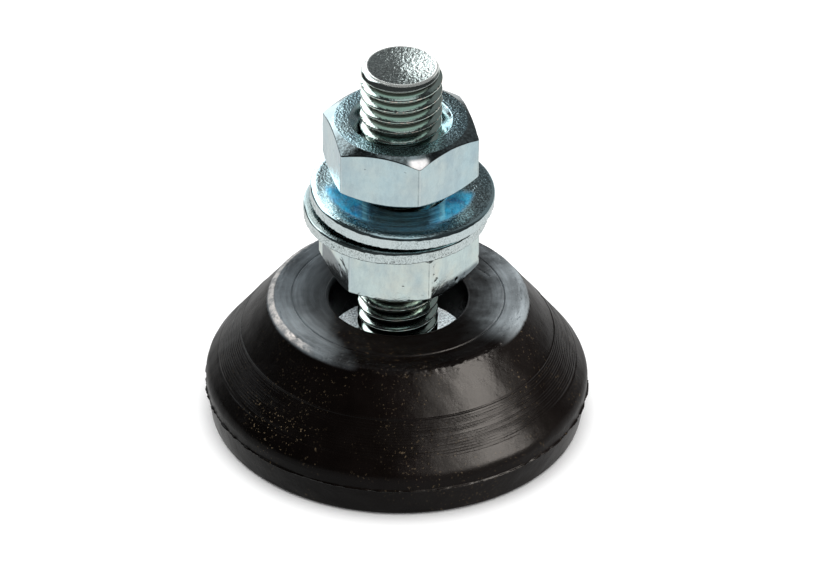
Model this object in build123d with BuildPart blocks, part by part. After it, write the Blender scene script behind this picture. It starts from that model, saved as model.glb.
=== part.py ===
from build123d import *
import os
from math import cos, radians, sin, sqrt, tan

# Swivelling levelling foot for furniture: an M10 ball stud in a moulded rubber base,
# with two hexagon nuts and two plain washers that clamp the furniture's bracket.
# Millimetres, +Z up. The origin is the centre of the sole, on the floor.

# ---- thread ----
pitch = 1.5
crest_radius = 4.95
root_radius = 4.01
crest_land = pitch / 8
flank_angle = radians(30)
thread_play = 0.10  # between the flanks and crests of stud and nut
root_overlap = 0.15  # how far the ridge sinks into the core it is rolled from

# ---- rubber base ----
sole_radius = 22.7
sole_edge = 0.6
waist_radius = 23.3  # at the mould's parting line
parting_z = 4.0
flash_height = 0.2
band_top_z = 5.2
cone_foot = (22.85, 6.5)
cone_head = (15.75, 16.0)
ridge_radius = 19.1
ridge_height = 0.12
rim_inner_radius = 14.1
crown_z = 16.5
crown_groove_radius = 12.9
crown_groove_depth = 0.15
well_radius = 8.45
sole_groove_radii = (11.0, 15.0, 19.0)
sole_groove_width = 1.2
sole_groove_depth = 0.6

# ---- steel insert: cup with a welded retainer plate ----
plate_radius = 12.5
plate_bottom_z = 8.5
plate_top_z = 10.0
plate_hole_radius = 5.5
plate_hole_chamfer = 0.2
cup_floor_z = 1.4
cup_thickness = 1.0
cup_inner_radius = 9.1

# ---- ball joint ----
ball_radius = 7.0
ball_centre_z = 5.0
ball_bottom_z = 3.2
ball_play = 0.05
retainer_play = 0.12
seat_side_play = 0.08
seat_top_z = 6.0
seat_edge_chamfer = 0.4
oil_groove_count = 4
oil_groove_width = 1.2
oil_groove_depth = 0.5

# ---- stud ----
shank_radius = 4.45
core_radius = 3.0  # where the thread's core joins the shank
thread_start_z = 10.6
tip_z = 49.7
tip_radius = 4.3
tip_chamfer_angle = radians(32)  # from the axis
centre_dimple_depth = 0.12

# ---- nuts ----
across_flats = 17.0
nut_chamfer_radius = 8.05
nut_chamfer_angle = radians(30)
nut_mouth_radius = 5.6
nut_minor_radius = 4.25
lower_nut_z = (21.1, 28.5)
lower_nut_turn = -67
upper_nut_z = (34.75, 42.1)
upper_nut_turn = -76
upper_mouth_radius = 6.15

# ---- washers ----
washer_radius = 11.15
washer_hole_radius = 5.5
washer_thickness = 1.9
washer_die_roll = 0.7  # rounding that the punch leaves on the upper edge
washer_burr_edge = 0.2
lower_washer_shift = -0.45
upper_washer_shift = 0.3
upper_washer_tilt = 2.0
upper_washer_low_side = -25  # azimuth where it rests on the lower washer


def sphere_height(radius, distance):
    """Height of a sphere's surface over its centre, at a distance from its axis."""
    return sqrt(radius**2 - distance**2)


def helical_ridge(inner_radius, outer_radius, land, bottom, top):
    """A right-hand thread's ridge. It crosses the +X side at z = 0 and at each pitch."""
    base = land + 2 * (outer_radius - inner_radius) * tan(flank_angle)
    corners = (
        (inner_radius, -base / 2),
        (outer_radius, -land / 2),
        (outer_radius, land / 2),
        (inner_radius, base / 2),
    )
    edges = []
    for radius, offset in corners:
        helix = Edge.make_helix(pitch, top - bottom, radius, center=(0, 0, bottom + offset))
        edges.append(helix.rotate(Axis.Z, 360 * bottom / pitch))
    faces = [Face.make_surface_from_curves(edges[i], edges[(i + 1) % 4]) for i in range(4)]
    for end in (0, 1):
        faces.append(Face(Wire.make_polygon([edge @ end for edge in edges], close=True)))
    return Solid(Shell(faces))


def tap(crest, root, land, bottom, top):
    """The space a nut's thread leaves free: a twisted prism in step with helical_ridge."""
    crest_half = 180 * land / pitch
    flank_turn = 360 * (crest - root) * tan(flank_angle) / pitch
    flank_steps = 8

    def point(radius, angle):
        turn = radians(angle + 360 * bottom / pitch)
        return (radius * cos(turn), radius * sin(turn))

    def flank(side):
        shares = [step / flank_steps for step in range(flank_steps + 1)]
        return [
            point(crest + (root - crest) * share, side * (crest_half + flank_turn * share))
            for share in shares
        ]

    root_start = crest_half + flank_turn
    with BuildSketch(Plane.XY.offset(bottom), mode=Mode.PRIVATE) as section:
        with BuildLine():
            ThreePointArc(point(crest, -crest_half), point(crest, 0), point(crest, crest_half))
            Spline(flank(1))
            ThreePointArc(point(root, root_start), point(root, 180), point(root, -root_start))
            Spline(flank(-1))
        make_face()
    rise = top - bottom
    return Solid.extrude_linear_with_rotation(
        section.sketch.face(), (0, 0, bottom), (0, 0, rise), 360 * rise / pitch
    )


def hexagon_nut(height, turn, top_mouth):
    """A hexagon nut, chamfered outside at both ends and countersunk at both mouths."""
    bottom, top = height
    corner_radius = across_flats / 2 / cos(radians(30))
    chamfer_drop = (corner_radius - nut_chamfer_radius) * tan(nut_chamfer_angle)
    land_play = 2 * thread_play * (1 - sin(flank_angle)) / cos(flank_angle)
    thread_space = tap(
        crest_radius + thread_play,
        nut_minor_radius,
        crest_land + land_play,
        bottom - pitch / 2,
        top + pitch / 2,
    )
    with BuildPart() as nut:
        with BuildSketch(Plane.XY.offset(bottom)):
            RegularPolygon(across_flats / 2, 6, major_radius=False, rotation=turn)
        extrude(amount=top - bottom)
        with BuildSketch(Plane.XZ):
            Polygon(
                (0, bottom),
                (nut_chamfer_radius, bottom),
                (corner_radius, bottom + chamfer_drop),
                (corner_radius, top - chamfer_drop),
                (nut_chamfer_radius, top),
                (0, top),
                align=None,
            )
        revolve(axis=Axis.Z, mode=Mode.INTERSECT)
        add(thread_space, mode=Mode.SUBTRACT)
        for face_z, mouth, inward in ((bottom, nut_mouth_radius, 1), (top, top_mouth, -1)):
            with BuildSketch(Plane.XZ):
                Polygon((0, face_z), (mouth, face_z), (0, face_z + inward * mouth), align=None)
            revolve(axis=Axis.Z, mode=Mode.SUBTRACT)
    return nut


def plain_washer(place):
    """A punched washer, rounded on its upper edge, lying on the given plane."""
    with BuildPart(place) as washer:
        with BuildSketch(place):
            Circle(washer_radius)
            Circle(washer_hole_radius, mode=Mode.SUBTRACT)
        extrude(amount=washer_thickness)
        rims = washer.edges().filter_by(GeomType.CIRCLE)
        outer = rims.filter_by(lambda edge: edge.radius > washer_hole_radius + 1)
        height = Axis(place.origin, place.z_dir)
        fillet(outer.sort_by(height)[-1], washer_die_roll)
        fillet(outer.sort_by(height)[0], washer_burr_edge)
    return washer


# ---- rubber base: one moulding round the steel insert ----
cup_outer_radius = cup_inner_radius + cup_thickness
flange_bottom_z = plate_bottom_z - cup_thickness
cone_share = (ridge_radius - cone_head[0]) / (cone_foot[0] - cone_head[0])
ridge_z = cone_head[1] + cone_share * (cone_foot[1] - cone_head[1])
cone_slope = Vector(cone_foot[0] - cone_head[0], cone_foot[1] - cone_head[1]).normalized()
cone_outward = Vector(-cone_slope.Y, cone_slope.X)
ridge_point = Vector(ridge_radius, ridge_z)
ridge_half = cone_slope * ridge_height

with BuildPart() as rubber_base:
    with BuildSketch(Plane.XZ) as outline:
        with BuildLine():
            Polyline(
                (0, 0),
                (sole_radius - sole_edge, 0),
                (sole_radius, sole_edge),
                (waist_radius, parting_z - flash_height),
                (waist_radius + flash_height, parting_z),
                (waist_radius, parting_z + flash_height),
                (waist_radius, band_top_z),
            )
            Spline(
                (waist_radius, band_top_z),
                cone_foot,
                tangents=((0, 1), (-cone_slope.X, -cone_slope.Y)),
            )
            Polyline(
                cone_foot,
                ridge_point + ridge_half,
                ridge_point + cone_outward * ridge_height,
                ridge_point - ridge_half,
                cone_head,
            )
            Spline(
                cone_head,
                (rim_inner_radius, crown_z),
                tangents=((-cone_slope.X, -cone_slope.Y), (-1, 0)),
            )
            Polyline(
                (rim_inner_radius, crown_z),
                (crown_groove_radius + crown_groove_depth, crown_z),
                (crown_groove_radius, crown_z - crown_groove_depth),
                (crown_groove_radius - crown_groove_depth, crown_z),
                (well_radius, crown_z),
                (well_radius, plate_top_z),
                (plate_radius, plate_top_z),
                (plate_radius, flange_bottom_z),
                (cup_outer_radius, flange_bottom_z),
                (cup_outer_radius, cup_floor_z),
                (0, cup_floor_z),
                (0, 0),
            )
        make_face()
    revolve(axis=Axis.Z)
    for groove_radius in sole_groove_radii:
        with BuildSketch(Plane.XY):
            Circle(groove_radius + sole_groove_width / 2)
            Circle(groove_radius - sole_groove_width / 2, mode=Mode.SUBTRACT)
        extrude(amount=sole_groove_depth, mode=Mode.SUBTRACT)

# ---- seat cup: pressed steel, its flange under the retainer plate ----
with BuildPart() as seat_cup:
    with BuildSketch(Plane.XZ):
        Polygon(
            (0, cup_floor_z),
            (cup_outer_radius, cup_floor_z),
            (cup_outer_radius, flange_bottom_z),
            (plate_radius, flange_bottom_z),
            (plate_radius, plate_bottom_z),
            (cup_inner_radius, plate_bottom_z),
            (cup_inner_radius, cup_floor_z + cup_thickness),
            (0, cup_floor_z + cup_thickness),
            align=None,
        )
    revolve(axis=Axis.Z)

# ---- retainer plate: its hole is relieved to the ball's shape from below ----
with BuildPart() as retainer_plate:
    with BuildSketch(Plane.XY.offset(plate_bottom_z)):
        Circle(plate_radius)
        Circle(plate_hole_radius, mode=Mode.SUBTRACT)
    extrude(amount=plate_top_z - plate_bottom_z)
    with Locations((0, 0, ball_centre_z)):
        Sphere(ball_radius + retainer_play, mode=Mode.SUBTRACT)
    upper_edges = retainer_plate.edges().group_by(Axis.Z)[-1]
    chamfer(upper_edges.sort_by(SortBy.RADIUS)[0], plate_hole_chamfer)

# ---- ball seat: a moulded ring whose dish carries the ball ----
dish_radius = ball_radius + ball_play
seat_bottom_z = cup_floor_z + cup_thickness + ball_play
seat_radius = cup_inner_radius - seat_side_play

with BuildPart() as ball_seat:
    with BuildSketch(Plane.XY.offset(seat_bottom_z)):
        Circle(seat_radius)
    extrude(amount=seat_top_z - seat_bottom_z)
    chamfer(ball_seat.edges().group_by(Axis.Z)[-1], seat_edge_chamfer)
    with Locations((0, 0, ball_centre_z)):
        Sphere(dish_radius, mode=Mode.SUBTRACT)
    with BuildSketch(Plane.XY.offset(ball_centre_z)):
        Circle(dish_radius)
    extrude(amount=seat_top_z - ball_centre_z, mode=Mode.SUBTRACT)
    with BuildSketch(Plane.XY.offset(ball_centre_z)):
        with PolarLocations(dish_radius, oil_groove_count):
            Rectangle(2 * oil_groove_depth, oil_groove_width)
    extrude(amount=seat_top_z - ball_centre_z, mode=Mode.SUBTRACT)

# ---- levelling stud: truncated ball, plain shank and rolled thread in one forging ----
rolled_thread = helical_ridge(
    root_radius - root_overlap,
    crest_radius,
    crest_land,
    thread_start_z - pitch / 2,
    tip_z + pitch / 4,
)
shank_on_ball_z = ball_centre_z + sphere_height(ball_radius, shank_radius)
ball_flat_radius = sphere_height(ball_radius, ball_centre_z - ball_bottom_z)
clear_of_crest = crest_radius + pitch / 4
tip_chamfer_drop = (clear_of_crest - tip_radius) / tan(tip_chamfer_angle)

with BuildPart() as levelling_stud:
    with BuildSketch(Plane.XY.offset(thread_start_z)):
        Circle(root_radius)
    extrude(amount=tip_z - thread_start_z)
    add(rolled_thread)
    with BuildSketch(Plane.XZ):
        Polygon(
            (0, thread_start_z),
            (root_radius, thread_start_z),
            (clear_of_crest, thread_start_z + clear_of_crest - root_radius),
            (clear_of_crest, tip_z - tip_chamfer_drop),
            (tip_radius, tip_z),
            (0, tip_z - centre_dimple_depth),
            align=None,
        )
    revolve(axis=Axis.Z, mode=Mode.INTERSECT)
    with BuildSketch(Plane.XZ):
        with BuildLine():
            Polyline(
                (core_radius, thread_start_z),
                (core_radius, thread_start_z + pitch),
                (0, thread_start_z + pitch),
                (0, ball_bottom_z),
                (ball_flat_radius, ball_bottom_z),
            )
            ThreePointArc(
                (ball_flat_radius, ball_bottom_z),
                (ball_radius, ball_centre_z),
                (shank_radius, shank_on_ball_z),
            )
            Polyline(
                (shank_radius, shank_on_ball_z),
                (shank_radius, thread_start_z),
                (core_radius, thread_start_z),
            )
        make_face()
    revolve(axis=Axis.Z)

# ---- clamping pair: lower nut and washer, upper washer and nut ----
lower_washer_plane = Plane((lower_washer_shift, 0, lower_nut_z[1]))
lower_washer_top = lower_nut_z[1] + washer_thickness
lean = radians(upper_washer_tilt)
low_side = radians(upper_washer_low_side)
upper_washer_plane = Plane(
    origin=(upper_washer_shift, 0, lower_washer_top + washer_radius * sin(lean)),
    x_dir=(-sin(low_side), cos(low_side), 0),
    z_dir=(sin(lean) * cos(low_side), sin(lean) * sin(low_side), cos(lean)),
)

pieces = {
    "rubber_base": rubber_base,
    "seat_cup": seat_cup,
    "retainer_plate": retainer_plate,
    "ball_seat": ball_seat,
    "levelling_stud": levelling_stud,
    "lower_nut": hexagon_nut(lower_nut_z, lower_nut_turn, nut_mouth_radius),
    "lower_washer": plain_washer(lower_washer_plane),
    "upper_washer": plain_washer(upper_washer_plane),
    "upper_nut": hexagon_nut(upper_nut_z, upper_nut_turn, upper_mouth_radius),
}

os.makedirs("parts", exist_ok=True)
for name, piece in pieces.items():
    piece.part.label = name
    export_step(piece.part, f"parts/{name}.step")
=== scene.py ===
import math
from functools import partial

import bpy
import numpy as np
from mathutils import Matrix, Vector, noise


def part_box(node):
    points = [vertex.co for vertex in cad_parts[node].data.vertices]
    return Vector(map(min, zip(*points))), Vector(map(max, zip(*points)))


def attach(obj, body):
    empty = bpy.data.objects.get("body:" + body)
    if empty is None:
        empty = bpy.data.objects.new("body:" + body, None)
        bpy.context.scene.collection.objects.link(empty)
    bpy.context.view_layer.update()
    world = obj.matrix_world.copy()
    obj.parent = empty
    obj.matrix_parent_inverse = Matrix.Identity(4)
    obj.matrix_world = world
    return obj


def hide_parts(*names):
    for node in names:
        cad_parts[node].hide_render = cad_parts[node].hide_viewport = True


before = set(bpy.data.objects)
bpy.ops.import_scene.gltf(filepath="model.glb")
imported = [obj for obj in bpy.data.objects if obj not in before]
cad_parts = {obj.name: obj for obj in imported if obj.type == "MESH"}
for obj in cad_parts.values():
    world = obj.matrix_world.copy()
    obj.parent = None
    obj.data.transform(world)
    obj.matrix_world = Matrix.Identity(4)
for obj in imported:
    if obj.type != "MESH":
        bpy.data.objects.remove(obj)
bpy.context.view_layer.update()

MM = 0.001
TAU = 2 * math.pi
FAR = 1000  # mm, past any edge of the object


# ---------------------------------------------------------------- sizes read from the frame, in mm

def box_mm(node):
    low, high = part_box(node)
    return np.array(low) / MM, np.array(high) / MM


base_low, base_high = box_mm("rubber_base")
stud_low, stud_high = box_mm("levelling_stud")


# ---------------------------------------------------------------- mesh helpers

def smooth_step(x, low, high):
    t = np.clip((x - low) / (high - low), 0, 1)
    return t * t * (3 - 2 * t)


def bell(value, centre, width):
    """1 at the centre, falling away to either side."""
    return np.exp(-(((value - centre) / width) ** 2))


def noise_on(points, scale, seed):
    """Perlin noise from -1 to 1 at each point of an array in mm, with features of about 1/scale mm."""
    flat = points.reshape(-1, 3) * scale + np.array([seed * 17.3, seed * 5.1, seed * 9.7])
    values = np.fromiter((noise.noise(p) for p in flat.tolist()), float, len(flat))
    return values.reshape(points.shape[:-1])


def grid_mesh(name, points, closed_rows=True, capped=False):
    """A mesh from rows x columns x 3 points in mm. Columns always close round the axis."""
    rows, columns = points.shape[:2]
    mesh = bpy.data.meshes.new(name)
    last = rows if closed_rows else rows - 1
    row = np.arange(last)[:, None]
    column = np.arange(columns)[None, :]
    here, there = row * columns, (row + 1) % rows * columns
    beside = (column + 1) % columns
    quads = np.stack([here + column, here + beside, there + beside, there + column], axis=-1)
    faces = quads.reshape(-1, 4).tolist()
    vertices = (points.reshape(-1, 3) * MM).tolist()
    if capped:
        for ring, order in ((0, -1), (rows - 1, 1)):
            centre = points[ring].mean(axis=0) * MM
            hub, start = len(vertices), ring * columns
            vertices.append(centre.tolist())
            for c in range(columns):
                pair = (start + c, start + (c + 1) % columns)
                faces.append([hub, *pair[::order]])
    mesh.from_pydata(vertices, [], faces)
    mesh.polygons.foreach_set("use_smooth", [True] * len(mesh.polygons))
    mesh.update()
    piece = bpy.data.objects.new(name, mesh)
    bpy.context.scene.collection.objects.link(piece)
    return piece


def even_angles(columns):
    return np.arange(columns) / columns * TAU


def turned(radius, height, angles):
    """Points in mm at a radius and a height, with a column for each angle."""
    sides = radius * np.cos(angles), radius * np.sin(angles), height + 0 * angles
    return np.stack(np.broadcast_arrays(*sides), axis=-1)


def around(profile, columns):
    """Turn an (n, 2) profile of radius and height into rows of points round Z."""
    angles = even_angles(columns)
    return turned(profile[:, 0:1], profile[:, 1:2], angles), angles


def resample(points, step):
    """Points along a polyline no further apart than step, corners kept."""
    out = [points[0]]
    for a, b in zip(points[:-1], points[1:]):
        a, b = np.array(a, float), np.array(b, float)
        count = max(1, math.ceil(np.linalg.norm(b - a) / step))
        out += [a + (b - a) * i / count for i in range(1, count + 1)]
    return np.array(out)


def arc(centre, radius, start_deg, end_deg, count):
    turns = np.radians(np.linspace(start_deg, end_deg, count))
    return [(centre[0] + radius * math.cos(t), centre[1] + radius * math.sin(t)) for t in turns]


def curve(start, pull, end):
    """Points of a quadratic curve from start to end, which leans towards pull. The start is left out."""
    start, pull, end = np.array(start), np.array(pull), np.array(end)
    shares = np.linspace(0.1, 1, 9)
    return [tuple(start * (1 - t) ** 2 + pull * 2 * t * (1 - t) + end * t * t) for t in shares]


# ---------------------------------------------------------------- node materials

class Nodes:
    """A short way to write a node tree: each call adds nodes and returns the last one's output."""

    def __init__(self, owner, coordinates="Object"):
        self.owner = owner
        owner.use_nodes = True
        self.tree = owner.node_tree
        self.tree.nodes.clear()
        self.place = self.add("ShaderNodeTexCoord").outputs[coordinates]

    def add(self, kind, **values):
        node = self.tree.nodes.new(kind)
        for key, value in values.items():
            setattr(node, key, value)
        return node

    def plug(self, socket, value):
        if isinstance(value, bpy.types.NodeSocket):
            self.tree.links.new(value, socket)
        else:
            socket.default_value = value

    def noise(self, scale, detail=4.0, roughness=0.55, place=None):
        """Cloudy noise from 0 to 1. The scale is its fineness, per metre."""
        node = self.add("ShaderNodeTexNoise")
        self.plug(node.inputs["Vector"], place or self.place)
        node.inputs["Scale"].default_value = scale
        node.inputs["Detail"].default_value = detail
        node.inputs["Roughness"].default_value = roughness
        return node.outputs["Fac"]

    def cells(self, scale):
        node = self.add("ShaderNodeTexVoronoi")
        self.plug(node.inputs["Vector"], self.place)
        node.inputs["Scale"].default_value = scale
        return node.outputs["Distance"]

    def stretch(self, scale):
        node = self.add("ShaderNodeMapping")
        self.plug(node.inputs["Vector"], self.place)
        node.inputs["Scale"].default_value = scale
        return node.outputs["Vector"]

    def ramp(self, value, *stops):
        """Read value off a ramp of stops, each a position and a grey level or colour."""
        node = self.add("ShaderNodeValToRGB")
        elements = node.color_ramp.elements
        while len(elements) < len(stops):
            elements.new(0.5)
        for element, (position, colour) in zip(elements, stops):
            element.position = position
            element.color = (*colour, 1) if isinstance(colour, tuple) else (colour, colour, colour, 1)
        self.plug(node.inputs["Fac"], value)
        return node.outputs["Color"]

    def math(self, operation, a, b=0.0, clamp=False):
        node = self.add("ShaderNodeMath", operation=operation, use_clamp=clamp)
        self.plug(node.inputs[0], a)
        self.plug(node.inputs[1], b)
        return node.outputs[0]

    def times(self, product, *others):
        for other in others:
            product = self.math("MULTIPLY", product, other)
        return product

    def plus(self, total, *others):
        for other in others:
            total = self.math("ADD", total, other)
        return total

    def inverse(self, value):
        return self.math("SUBTRACT", 1.0, value)

    def mix(self, share, a, b, clamp=True):
        node = self.add("ShaderNodeMix", data_type="RGBA", clamp_factor=clamp)
        self.plug(node.inputs["Factor"], share)
        self.plug(node.inputs["A"], (*a, 1) if isinstance(a, tuple) else a)
        self.plug(node.inputs["B"], (*b, 1) if isinstance(b, tuple) else b)
        return node.outputs["Result"]

    def tone(self, share, colour, shade):
        """Darken a colour by a shade, in the given share."""
        node = self.add("ShaderNodeMix", data_type="RGBA", blend_type="MULTIPLY")
        for key, value in (("Factor", share), ("A", colour), ("B", shade)):
            self.plug(node.inputs[key], value)
        return node.outputs["Result"]

    def bump(self, height, distance):
        node = self.add("ShaderNodeBump")
        node.inputs["Distance"].default_value = distance
        node.inputs["Strength"].default_value = 1.0
        self.plug(node.inputs["Height"], height)
        return node.outputs["Normal"]

    def split(self, vector):
        node = self.add("ShaderNodeSeparateXYZ")
        self.plug(node.inputs[0], vector)
        return node.outputs

    def facing(self):
        """How far the surface looks up: 1 is level, 0 is upright."""
        return self.split(self.add("ShaderNodeNewGeometry").outputs["Normal"])[2]

    def glossy_ray(self):
        """1 where a reflection is looking, 0 otherwise."""
        return self.add("ShaderNodeLightPath").outputs["Is Glossy Ray"]

    def polar(self):
        """Distance from the Z axis and height, in metres, and the angle round it."""
        x, y, z = self.split(self.place)
        radius = self.math("SQRT", self.plus(self.times(x, x), self.times(y, y)))
        return radius, z, self.math("ARCTAN2", y, x)

    def rings(self, across, along):
        """Noise drawn out into rings round the Z axis: across and along are its fineness each way."""
        radius, height, angle = self.polar()
        place = self.add("ShaderNodeCombineXYZ")
        self.plug(place.inputs[0], self.times(radius, across))
        self.plug(place.inputs[1], self.times(self.math("COSINE", angle), along))
        self.plug(place.inputs[2], self.times(self.math("SINE", angle), along))
        return self.noise(1.0, 4, 0.6, place.outputs[0])

    def span_mm(self, value, start, end):
        """0 at start, 1 at end, and no further either way."""
        node = self.add("ShaderNodeMapRange")
        for key, given in (("Value", value), ("From Min", start * MM), ("From Max", end * MM)):
            self.plug(node.inputs[key], given)
        return node.outputs["Result"]

    def band(self, value, low, high, fade):
        """1 between low and high, falling to 0 over fade on each side."""
        node = self.add("ShaderNodeMapRange", interpolation_type="SMOOTHSTEP")
        self.plug(node.inputs["Value"], value)
        node.inputs["From Min"].default_value = low - fade
        node.inputs["From Max"].default_value = low
        fall = self.add("ShaderNodeMapRange", interpolation_type="SMOOTHSTEP")
        self.plug(fall.inputs["Value"], value)
        fall.inputs["From Min"].default_value = high
        fall.inputs["From Max"].default_value = high + fade
        fall.inputs["To Min"].default_value = 1.0
        fall.inputs["To Max"].default_value = 0.0
        return self.times(node.outputs["Result"], fall.outputs["Result"])

    def band_mm(self, value, low, high, fade):
        return self.band(value, low * MM, high * MM, fade * MM)

    def band_deg(self, value, low, high, fade):
        return self.band(value, math.radians(low), math.radians(high), math.radians(fade))

    def finish(self, colour, roughness, metallic=0.0, normal=None, mirrored=None, **others):
        """End the tree. mirrored is a brightness that reflections see in place of the surface."""
        shader = self.add("ShaderNodeBsdfPrincipled")
        self.plug(shader.inputs["Base Color"], colour)
        self.plug(shader.inputs["Roughness"], roughness)
        self.plug(shader.inputs["Metallic"], metallic)
        if normal is not None:
            self.plug(shader.inputs["Normal"], normal)
        for key, value in others.items():
            self.plug(shader.inputs[key.replace("_", " ")], value)
        surface = shader.outputs[0]
        if mirrored is not None:
            glow = self.add("ShaderNodeEmission")
            self.plug(glow.inputs["Color"], mirrored)
            swap = self.add("ShaderNodeMixShader")
            self.plug(swap.inputs[0], self.glossy_ray())
            self.plug(swap.inputs[1], surface)
            self.plug(swap.inputs[2], glow.outputs[0])
            surface = swap.outputs[0]
        output = self.add("ShaderNodeOutputMaterial")
        self.tree.links.new(surface, output.inputs["Surface"])
        return self.owner


# ---------------------------------------------------------------- zinc plate
# Places are a low edge, a high edge and a fade, in mm unless said. LEVEL and UPRIGHT are on the
# scale of Nodes.facing.

LEVEL = (0.95, 1.1, 0.07)
UPRIGHT = (-0.5, 0.5, 0.1)
STAIN_SHADE = 0.78
PIT_GREY = (0.20, 0.21, 0.20)
# least share of the flecks' painted shade, on their light side
LEAST_FLECK_SHADE = 0.12


def zinc(name, tint, warm, roughness, fleck_shade_side, extra, grain_depth=0.06):
    """Blue-passivated zinc plate: drifting tint, crystalline grain, stains and small pits.
    Faces that look up are flecked, less so beyond fleck_shade_side, which is two places along X in mm.
    The flecks are grain, and their fall from one side to the other is painted shade.
    extra can change the colour and the share of metal. grain_depth is in mm."""
    n = Nodes(bpy.data.materials.new(name))
    drift = n.noise(180, 5, 0.6)
    fine = n.noise(900, 6, 0.65)
    grain = n.noise(3700, 2, 0.6)
    colour = n.mix(n.ramp(drift, (0.42, 0.0), (0.68, 1.0)), tint, warm)
    stained = tuple(c * STAIN_SHADE for c in tint)
    colour = n.mix(n.ramp(fine, (0.5, 0.0), (0.75, 0.4)), colour, stained)
    some = n.ramp(n.noise(260, 2), (0.56, 0.0), (0.62, 1.0))
    pits = n.times(n.ramp(n.cells(620), (0.0, 1.0), (0.05, 0.0)), some)
    colour = n.mix(n.times(pits, 0.6), colour, PIT_GREY)
    cloud = n.plus(n.times(fine, 0.6), n.times(drift, 0.4))
    rough = n.ramp(cloud, (0.35, roughness[0]), (0.65, roughness[1]))
    x = n.split(n.place)[0]
    # painted shade: the flecks are full on one side along X and fade towards the other
    fleck_shade = n.ramp(n.span_mm(x, *fleck_shade_side), (0.0, 1.0), (1.0, LEAST_FLECK_SHADE))
    upward = n.band(n.facing(), *LEVEL)
    flecks = n.ramp(n.noise(4300, 2, 0.7), (0.40, 0.14), (0.50, 0.55), (0.60, 1.0))
    colour = n.tone(n.times(upward, fleck_shade, 0.85), colour, flecks)
    colour, metal = extra(n, colour, fine)
    strength = n.plus(n.times(upward, 0.8), 0.2)
    height = n.math("SUBTRACT", n.times(grain, strength), n.times(pits, 1.5))
    return n.finish(colour, rough, metal, n.bump(height, grain_depth * MM))


# Painted reflections on the upper washer's face in front of the stud: blue patches of the nuts, highlight
# streaks, and the stud's thread.
FRONT_OF_WASHER = (-20, -1.8, 1.6)  # along Y
BESIDE_STUD = (4.2, 8.8, 1.2)  # along X, either way
BEFORE_STUD = (-FAR, 4.0, 1.4)
REFLECTION_RING = (5.0, 8.6, 0.8)
THREAD_REFLECTION_RING = (5.0, 9.4, 1.0)
# places of the painted highlight streaks beside the stud
HIGHLIGHT_STREAK_RING = (5.6, 8.6, 0.4)
HIGHLIGHT_STREAK_LEFT = (-4.0, -3.7, 0.25)
HIGHLIGHT_STREAK_RIGHT = (5.2, 5.6, 0.3)
HIGHLIGHT_STREAK_WAVER = 0.6
REFLECTION_BLUE_DEEP, REFLECTION_BLUE_BRIGHT = (0.012, 0.25, 0.56), (0.045, 0.62, 1.0)
HIGHLIGHT_STREAK_BLUE = (0.35, 0.85, 1.0)
# colours of the painted reflection of the stud's thread
THREAD_REFLECTION_DARK, THREAD_REFLECTION_LIGHT = (0.030, 0.095, 0.14), (0.15, 0.42, 0.58)


def paint_washer_reflections(n, colour, fine):
    """Painted reflections on the front of a washer: blue patches of the nuts either side of the stud,
    painted highlight streaks on them, and teal rings of the stud's thread in the middle.
    Returns the colour and how much of the metal it hides."""
    radius = n.polar()[0]
    x, y = n.split(n.place)[:2]
    aside = n.math("ABSOLUTE", x)
    front = n.band_mm(y, *FRONT_OF_WASHER)
    # painted reflection of the nuts: blue patches on the washer's face either side of the stud
    painted_reflection = n.times(n.band_mm(radius, *REFLECTION_RING), n.band_mm(aside, *BESIDE_STUD), front)
    painted_reflection = n.times(painted_reflection, n.ramp(fine, (0.3, 0.7), (0.7, 1.0)))
    blue = n.mix(n.ramp(n.noise(420, 4, 0.6), (0.38, 0.0), (0.60, 1.0)), REFLECTION_BLUE_DEEP, REFLECTION_BLUE_BRIGHT)
    speckle = n.ramp(n.noise(1900, 4, 0.75, n.stretch((1, 0.35, 1))), (0.40, 0.22), (0.58, 1.0))
    colour = n.mix(painted_reflection, colour, n.tone(0.60, blue, speckle))

    # painted highlight streaks, bright blue, either side of the stud
    wavy_x = n.plus(x, n.times(fine, HIGHLIGHT_STREAK_WAVER * MM))
    highlight_streak = n.plus(n.band_mm(wavy_x, *HIGHLIGHT_STREAK_LEFT), n.band_mm(wavy_x, *HIGHLIGHT_STREAK_RIGHT))
    highlight_streak = n.times(highlight_streak, front, n.band_mm(radius, *HIGHLIGHT_STREAK_RING))
    colour = n.mix(n.times(highlight_streak, n.ramp(fine, (0.35, 0.2), (0.6, 1.0))), colour, HIGHLIGHT_STREAK_BLUE)

    # painted reflection of the stud's thread: teal rings in the middle of the washer's front
    thread_reflection = n.times(n.band_mm(aside, *BEFORE_STUD), n.band_mm(radius, *THREAD_REFLECTION_RING), front)
    thread_reflection = n.times(thread_reflection, n.ramp(fine, (0.3, 0.55), (0.7, 0.95)))
    thread_reflection_colour = n.mix(n.ramp(n.rings(2300, 1.2), (0.42, 0.0), (0.58, 1.0)), THREAD_REFLECTION_DARK, THREAD_REFLECTION_LIGHT)
    colour = n.mix(thread_reflection, colour, thread_reflection_colour)

    hidden = n.math("MAXIMUM", n.math("MAXIMUM", painted_reflection, n.times(highlight_streak, 0.8)), n.times(thread_reflection, 0.22))
    return colour, n.times(hidden, 0.62)


WASHER_WALL = (10.5, 13.0, 0.2)
WALL_GREY = (0.84, 0.90, 0.90)
# painted shade for the gap under the upper washer, laid on the flat face
GAP_SHADE_GREY = (0.05, 0.05, 0.045)


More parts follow.
